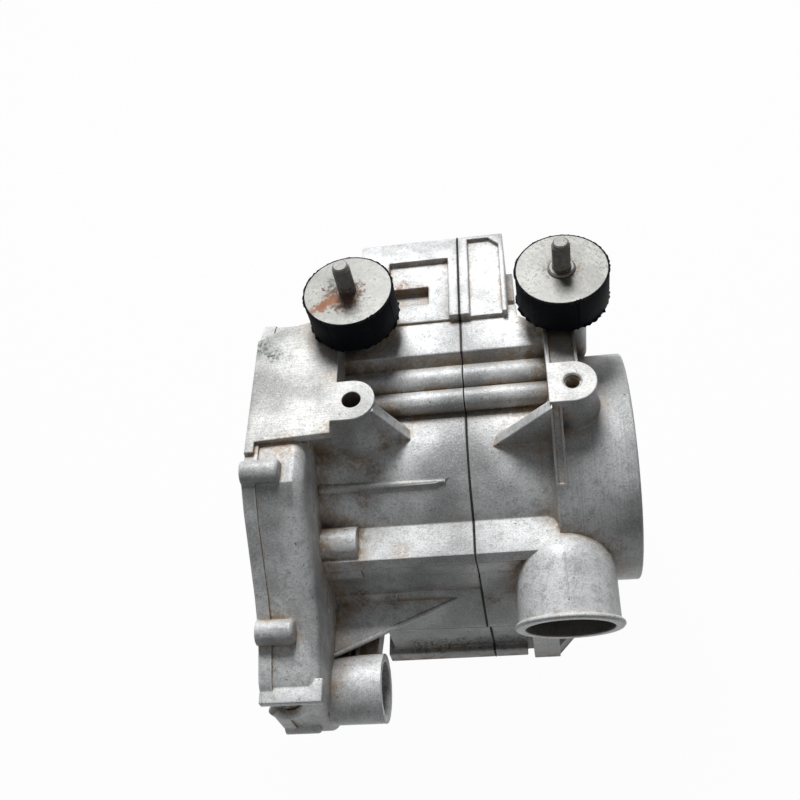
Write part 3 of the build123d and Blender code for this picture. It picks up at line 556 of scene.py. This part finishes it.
# Parting line of the elbow, a low ridge left where the two sides of the mould met.
# It is the casting's own aluminium, with brown dirt held along it.
cast_bead(
    "elbow_parting_line",
    ((46.5, -94, 28.8), (46.5, -88, 30.0), (46.5, -82, 31.2), (46.5, -76, 32.4), (46.5, -70, 33.5)),
    (0.4, 0.45, 0.5, 0.5, 0.4),
    right_half.data.materials[0],
)


# Thread of the front right mounting hole, an M10 coarse thread tapped into the boss.
# One turn of its V is drawn in section and wound up the hole.
thread_pitch = 1.5 * mm
thread_depth = 0.75 * mm
steps_in_turn = 28


def wound_thread(name, middle_radius, low, turns, centre):
    deselect()
    bpy.ops.mesh.primitive_circle_add(
        vertices=4,
        radius=thread_depth,
        location=(middle_radius, 0.0, low),
        rotation=(math.radians(90), 0.0, 0.0),
    )
    thread = bpy.context.object
    thread.name = name
    bpy.ops.object.transform_apply(location=True, rotation=True, scale=True)
    wind = thread.modifiers.new("wind", "SCREW")
    wind.axis = "Z"
    wind.angle = math.radians(360)
    wind.screw_offset = thread_pitch
    wind.iterations = turns
    wind.steps = steps_in_turn
    wind.render_steps = steps_in_turn
    bpy.ops.object.modifier_apply(modifier=wind.name)
    bpy.ops.object.mode_set(mode="EDIT")
    bpy.ops.mesh.select_mode(type="EDGE")
    bpy.ops.mesh.select_all(action="DESELECT")
    bpy.ops.mesh.select_non_manifold()
    bpy.ops.mesh.fill()
    bpy.ops.mesh.select_all(action="SELECT")
    bpy.ops.mesh.normals_make_consistent(inside=False)
    bpy.ops.object.mode_set(mode="OBJECT")
    thread.location = centre
    bpy.ops.object.transform_apply(location=True)
    bpy.ops.object.shade_smooth_by_angle(angle=math.radians(30))
    return thread


hole_x, hole_y, _ = mounts["front_right_thread"]["pos_m"]
tapped_radius = 4.3 * mm
tapped_low = 63 * mm
tapped_turns = 15
tapped_thread = wound_thread(
    "front_right_tapped_thread", tapped_radius, tapped_low, tapped_turns, (hole_x, hole_y, 0.0)
)
tapped_thread.data.materials.append(aluminium("tapped_aluminium", (0.66, 0.66, 0.64), (), dirt_and_shade=0.1))
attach(tapped_thread, "root")


# Joint gasket: a thin black sheet of fibre and rubber, pressed between the two halves.
# Its solid is right, and its edge shows as the black line over the case.
make = Recipe("black_fibre_sheet")
fibres = make.noise(1.0, 4.0, 0.6, (500.0, 1800.0, 1800.0))
blotch = make.noise(60.0, 4.0)
fibre_black = (0.006, 0.006, 0.007, 1.0)
fibre_grey = (0.03, 0.03, 0.032, 1.0)
dried_oil = (0.06, 0.055, 0.05, 1.0)
colour = make.mix(make.step(fibres, 0.35, 0.75), fibre_black, fibre_grey)
colour = make.mix(make.maths("MULTIPLY", make.step(blotch, 0.6, 0.75), 0.5), colour, dried_oil)
make.shader.inputs["Specular IOR Level"].default_value = 0.3
gasket = frame["nodes"]["case_gasket"]
gasket.data.materials.clear()
gasket.data.materials.append(
    make.finish(colour, make.maths("ADD", blotch, 0.25, True), fibres, 0.08 * mm)
)


# Main bearing outer races and their circlips, left in the two seats when the crankshaft came out.
# The races are ground bearing steel with a trace of oil, the circlips are blued spring steel.
def steel(name, tone, dirt_and_shade, patches, metallic, marks=None, reach=5 * mm):
    make = Recipe(name)
    # The metal or its plating, clouded and mottled, with small dark bites in it.
    clouds = make.noise(60.0, 4.0)
    mottle = make.noise(420.0, 4.0, 0.65)
    dark = tuple(channel * 0.5 for channel in tone) + (1.0,)
    colour = make.mix(make.step(clouds, 0.3, 0.7), dark, tone + (1.0,))
    colour = make.mix(make.maths("MULTIPLY", make.step(mottle, 0.46, 0.62), 0.75), colour, dark)
    bites = make.maths("MULTIPLY", make.step(make.specks(650.0), 0.3, 0.1), make.step(clouds, 0.4, 0.6))
    colour = make.mix(make.maths("MULTIPLY", bites, 0.7), colour, (0.13, 0.12, 0.11, 1.0))
    # Grime in the corners, then rust and stains in their own places.
    grime = make.maths("MULTIPLY", make.step(make.hollow(reach), 0.85, 0.4), make.step(mottle, 0.3, 0.6))
    colour = make.mix(make.maths("MULTIPLY", grime, 0.7), colour, dirt_and_shade)
    for centre, radius, strength, tint in patches:
        spot = make.maths("MULTIPLY", make.spot(mottle, centre, radius), strength)
        colour = make.mix(spot, colour, tint)
        grime = make.maths("MAXIMUM", grime, spot)
    # The relief of the surface, with the marks of grinding or turning where there are any.
    height = make.maths("SUBTRACT", mottle, bites)
    if marks:
        height = make.maths("ADD", height, make.noise(1.0, 2.0, 0.5, marks))
    roughness = make.maths("ADD", make.maths("MULTIPLY", clouds, 0.25), make.maths("MULTIPLY", grime, 0.35))
    make.shader.inputs["Metallic"].default_value = metallic
    make.shader.inputs["Specular IOR Level"].default_value = 0.3
    return make.finish(colour, make.maths("ADD", roughness, 0.25, True), height, 0.12 * mm)


grinding_marks = (2600.0, 12.0, 12.0)
race_steel = steel("ground_race_steel", (0.46, 0.46, 0.45), brown, (), 0.8, grinding_marks)
circlip_steel = steel("blued_circlip_steel", (0.12, 0.125, 0.14), brown, (), 0.7)
for side in ("left", "right"):
    race = eased_copy(side + "_bearing_race", side + "_ground_race", 0.3 * mm)
    race.data.materials.append(race_steel)
    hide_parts(side + "_bearing_race")
    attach(race, "root")
    circlip = eased_copy(side + "_bearing_circlip", side + "_sprung_circlip", 0.2 * mm)
    circlip.data.materials.append(circlip_steel)
    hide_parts(side + "_bearing_circlip")
    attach(circlip, "root")


# Joint screws with their washers, and the two hollow dowels that line the halves up.
# Socket head screws of zinc plated steel, their plating dull and stained round the heads.
screw_zinc = steel("zinc_plated_screws", (0.50, 0.49, 0.45), brown, (), 0.6)
washer_zinc = steel("zinc_plated_washers", (0.55, 0.54, 0.50), ochre, (), 0.6)
rolling_marks = (2000.0, 20.0, 20.0)
dowel_steel = steel("dowel_spring_steel", (0.40, 0.40, 0.40), brown, (), 0.7, rolling_marks)
for node, edge, metal in (
    ("housing_screws", 0.35 * mm, screw_zinc),
    ("box_screws", 0.35 * mm, screw_zinc),
    ("housing_washers", 0.2 * mm, washer_zinc),
    ("box_washers", 0.2 * mm, washer_zinc),
    ("dowel_sleeves", 0.2 * mm, dowel_steel),
):
    fastener = eased_copy(node, node + "_plated", edge)
    fastener.data.materials.append(metal)
    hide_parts(node)
    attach(fastener, "root")


# Rubber mounts on the two back bosses: a black rubber block moulded between two steel plates.
# The natural rubber is matte and dusty, with torn flash round its foot and nicks in its top rim.
mount_x, mount_y, _ = mounts["right_mount_stud"]["pos_m"]
solid_low, solid_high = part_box("right_mount_rubber")
rubber_radius = (solid_high.x - solid_low.x) / 2
rubber_low = solid_low.z
rubber_high = solid_high.z + 0.05 * mm
dish_rim = 0.8 * mm
dish_depth = 1.9 * mm
nick_depth = 0.5 * mm

make = Recipe("aged_black_rubber")
dust = make.noise(90.0, 5.0, 0.7)
pores = make.noise(1400.0, 3.0)
rubber_black = (0.0012, 0.0016, 0.0026, 1.0)
rubber_grey = (0.003, 0.004, 0.006, 1.0)
scuffed_grey = (0.012, 0.0125, 0.014, 1.0)
colour = make.mix(make.step(pores, 0.4, 0.75), rubber_black, rubber_grey)
scuffs = make.maths("MULTIPLY", make.step(dust, 0.56, 0.72), 0.5)
colour = make.mix(scuffs, colour, scuffed_grey)
make.shader.inputs["Specular IOR Level"].default_value = 0.06
height = make.maths("ADD", pores, make.maths("MULTIPLY", dust, 1.2))
roughness = make.maths("ADD", make.maths("MULTIPLY", dust, 0.3), 0.48)
black_rubber = make.finish(colour, roughness, height, 0.25 * mm)


def dished_block(name):
    deselect()
    bpy.ops.mesh.primitive_cylinder_add(
        vertices=160,
        radius=rubber_radius,
        depth=rubber_high - rubber_low,
        location=(-mount_x, mount_y, (rubber_low + rubber_high) / 2),
    )
    block = bpy.context.object
    block.name = name
    bpy.ops.object.transform_apply(location=True, rotation=True, scale=True)
    bpy.ops.object.mode_set(mode="EDIT")
    bpy.ops.mesh.select_mode(type="FACE")
    for level, inward in ((rubber_high, -dish_depth), (rubber_low, dish_depth)):
        bpy.ops.mesh.select_all(action="DESELECT")
        bpy.ops.object.mode_set(mode="OBJECT")
        for face in block.data.polygons:
            face.select = abs(face.center.z - level) < face_reach
        bpy.ops.object.mode_set(mode="EDIT")
        bpy.ops.mesh.inset(thickness=dish_rim)
        bpy.ops.mesh.extrude_region_move(TRANSFORM_OT_translate={"value": (0.0, 0.0, inward)})
    bpy.ops.object.mode_set(mode="OBJECT")
    return block


def copied_across(left_piece, name):
    deselect()
    left_piece.select_set(True)
    bpy.context.view_layer.objects.active = left_piece
    bpy.ops.object.duplicate_move(TRANSFORM_OT_translate={"value": (2 * mount_x, 0.0, 0.0)})
    right_piece = bpy.context.object
    right_piece.name = name
    bpy.ops.object.transform_apply(location=True, rotation=True, scale=True)
    return right_piece


def nick_rim(block, centre_x, seed):
    deselect()
    block.select_set(True)
    bpy.context.view_layer.objects.active = block
    bpy.ops.object.mode_set(mode="EDIT")
    bpy.ops.mesh.select_mode(type="VERT")
    bpy.ops.object.mode_set(mode="OBJECT")
    for vertex in block.data.vertices:
        at_rim = abs(vertex.co.z - rubber_high) < face_reach
        angle = math.atan2(vertex.co.y - mount_y, vertex.co.x - centre_x)
        vertex.select = at_rim and math.sin(angle * 7 + seed) + math.sin(angle * 11 + 2 * seed) > 1.2
    bpy.ops.object.mode_set(mode="EDIT")
    bpy.ops.transform.vertex_random(offset=nick_depth, uniform=1.0, normal=0.0, seed=seed)
    bpy.ops.object.mode_set(mode="OBJECT")
    rim = block.modifiers.new("moulded_rim", "BEVEL")
    rim.width = 0.25 * mm
    rim.segments = 2
    rim.limit_method = "ANGLE"
    rim.angle_limit = math.radians(50)
    bpy.ops.object.modifier_apply(modifier=rim.name)
    bpy.ops.object.shade_smooth_by_angle(angle=math.radians(40))
    block.data.materials.append(black_rubber)


flash_root = rubber_radius - 0.3 * mm
flash_edge = rubber_radius + 0.35 * mm
flash_thickness = 0.45 * mm
foot_flash_level = rubber_low + 0.45 * mm
top_flash_level = rubber_high - 0.55 * mm


def torn_flash(name, centre_x, level, reach, seed, torn_from, torn_to):
    deselect()
    bpy.ops.mesh.primitive_circle_add(
        vertices=110, radius=flash_root, location=(centre_x, mount_y, level)
    )
    flash = bpy.context.object
    flash.name = name
    bpy.ops.object.transform_apply(location=True, rotation=True, scale=True)
    bpy.ops.object.mode_set(mode="EDIT")
    bpy.ops.mesh.select_all(action="SELECT")
    bpy.ops.mesh.extrude_edges_move()
    grow = flash_edge / flash_root
    bpy.ops.transform.resize(value=(grow, grow, 1.0), center_override=(centre_x, mount_y, level))
    bpy.ops.transform.vertex_random(offset=0.12 * mm, uniform=1.0, normal=0.0, seed=seed)
    bpy.ops.object.mode_set(mode="OBJECT")
    for vertex in flash.data.vertices:
        angle = math.degrees(math.atan2(vertex.co.y - mount_y, vertex.co.x - centre_x)) % 360
        vertex.select = vertex.select and torn_from < angle < torn_to
    bpy.ops.object.mode_set(mode="EDIT")
    bpy.ops.transform.vertex_random(offset=reach, uniform=1.0, normal=0.0, seed=seed + 3)
    bpy.ops.object.mode_set(mode="OBJECT")
    sheet = flash.modifiers.new("sheet", "SOLIDIFY")
    sheet.thickness = flash_thickness
    sheet.offset = 0.0
    bpy.ops.object.modifier_apply(modifier=sheet.name)
    flash.data.materials.append(black_rubber)
    return flash


left_block = dished_block("left_rubber_block")
right_block = copied_across(left_block, "right_rubber_block")
for side, block, centre_x, seed, torn_from, torn_to in (
    ("left", left_block, -mount_x, 3, 190, 260),
    ("right", right_block, mount_x, 5, 240, 330),
):
    nick_rim(block, centre_x, seed)
    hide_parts(side + "_mount_rubber")
    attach(block, "root")
    for part, level, reach in (
        ("foot", foot_flash_level, 0.7 * mm),
        ("top", top_flash_level, 0.3 * mm),
    ):
        flash = torn_flash(side + "_" + part + "_flash", centre_x, level, reach, seed, torn_from, torn_to)
        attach(flash, "root")


# End plates of the rubber mounts: discs of zinc plated sheet steel, bonded into the rubber.
# Their plating has gone dull and speckled, and rust has run from the foot of the left stud.
dark_rust = (0.11, 0.05, 0.03, 1.0)
plate_stains = (
    ((-0.061, 0.055, 0.109), 14 * mm, 0.95, dark_rust),
    ((-0.067, 0.052, 0.109), 6 * mm, 0.85, rust),
    ((-0.072, 0.048, 0.109), 5 * mm, 0.9, rust),
    ((-0.077, 0.045, 0.109), 3.5 * mm, 0.7, rust),
    ((-0.064, 0.064, 0.109), 9 * mm, 0.45, oxide),
    ((0.058, 0.058, 0.109), 12 * mm, 0.6, brown),
)
plate_tone = (0.36, 0.36, 0.335)
plate_dirt = (0.09, 0.075, 0.06, 1.0)
plate_zinc = steel("dull_zinc_plate", plate_tone, plate_dirt, plate_stains, 0.06)
for side in ("left", "right"):
    for end in ("base", "top"):
        plate = eased_copy(side + "_mount_" + end + "_plate", side + "_" + end + "_disc", 0.3 * mm)
        plate.data.materials.append(plate_zinc)
        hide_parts(side + "_mount_" + end + "_plate")
        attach(plate, "root")


# Studs of the rubber mounts: M10 studs of zinc plated steel, pressed and welded into the plates.
# Each has a rolled thread up to its chamfered tip, and the right one stands in a coned collar.
rusty_root = (0.09, 0.045, 0.03, 1.0)
stud_stains = (
    ((-0.058, 0.058, 0.110), 9 * mm, 0.9, rusty_root),
    ((0.058, 0.058, 0.112), 5 * mm, 0.6, ochre),
)
stud_zinc = steel("worn_zinc_stud", (0.25, 0.245, 0.23), brown, stud_stains, 0.08, reach=1.2 * mm)


def turned_bar(radius, low, high, chamfer, centre_x):
    deselect()
    bpy.ops.mesh.primitive_cylinder_add(
        vertices=48, radius=radius, depth=high - low, location=(centre_x, mount_y, (low + high) / 2)
    )
    bar = bpy.context.object
    bpy.ops.object.transform_apply(location=True, rotation=True, scale=True)
    ends = bar.modifiers.new("chamfer", "BEVEL")
    ends.width = chamfer
    ends.segments = 1
    ends.limit_method = "ANGLE"
    ends.angle_limit = math.radians(50)
    bpy.ops.object.modifier_apply(modifier=ends.name)
    return bar


def join_bars(stud, bars, centre_x):
    turned = [turned_bar(*bar, centre_x) for bar in bars]
    deselect()
    for piece in [stud] + turned:
        piece.select_set(True)
    bpy.context.view_layer.objects.active = stud
    bpy.ops.object.join()
    bpy.ops.object.shade_smooth_by_angle(angle=math.radians(30))


def threaded_stud(name, bars, thread_low, turns):
    stud = wound_thread(name, rolled_radius, thread_low, turns, (-mount_x, mount_y, 0.0))
    join_bars(stud, bars, -mount_x)
    return stud


rolled_radius = 4.15 * mm
# Each step of a stud is a radius, a low end, a high end and a chamfer.
top_bars = (
    (8.5 * mm, 105.1 * mm, 106.9 * mm, 0.3 * mm),
    (6.0 * mm, 106.5 * mm, 109.0 * mm, 0.2 * mm),
    (4.9 * mm, 108.5 * mm, 113.2 * mm, 0.6 * mm),
    (4.2 * mm, 112.0 * mm, 129.0 * mm, 0.7 * mm),
)
coned_collar = ((7.4 * mm, 108.6 * mm, 110.6 * mm, 1.6 * mm),)
base_bars = (
    (8.5 * mm, 89.1 * mm, 90.9 * mm, 0.3 * mm),
    (6.0 * mm, 87.0 * mm, 89.5 * mm, 0.2 * mm),
    (4.2 * mm, 69.0 * mm, 88.0 * mm, 0.7 * mm),
)
top_thread_low = 113.6 * mm
base_thread_low = 70.4 * mm
left_top_stud = threaded_stud("left_top_threaded_stud", top_bars, top_thread_low, 9)
left_base_stud = threaded_stud("left_base_threaded_stud", base_bars, base_thread_low, 10)
right_top_stud = copied_across(left_top_stud, "right_top_threaded_stud")
right_base_stud = copied_across(left_base_stud, "right_base_threaded_stud")
join_bars(right_top_stud, coned_collar, mount_x)
for stud, node in (
    (left_top_stud, "left_mount_top_stud"),
    (left_base_stud, "left_mount_base_stud"),
    (right_top_stud, "right_mount_top_stud"),
    (right_base_stud, "right_mount_base_stud"),
):
    stud.data.materials.append(stud_zinc)
    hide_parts(node)
    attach(stud, "root")
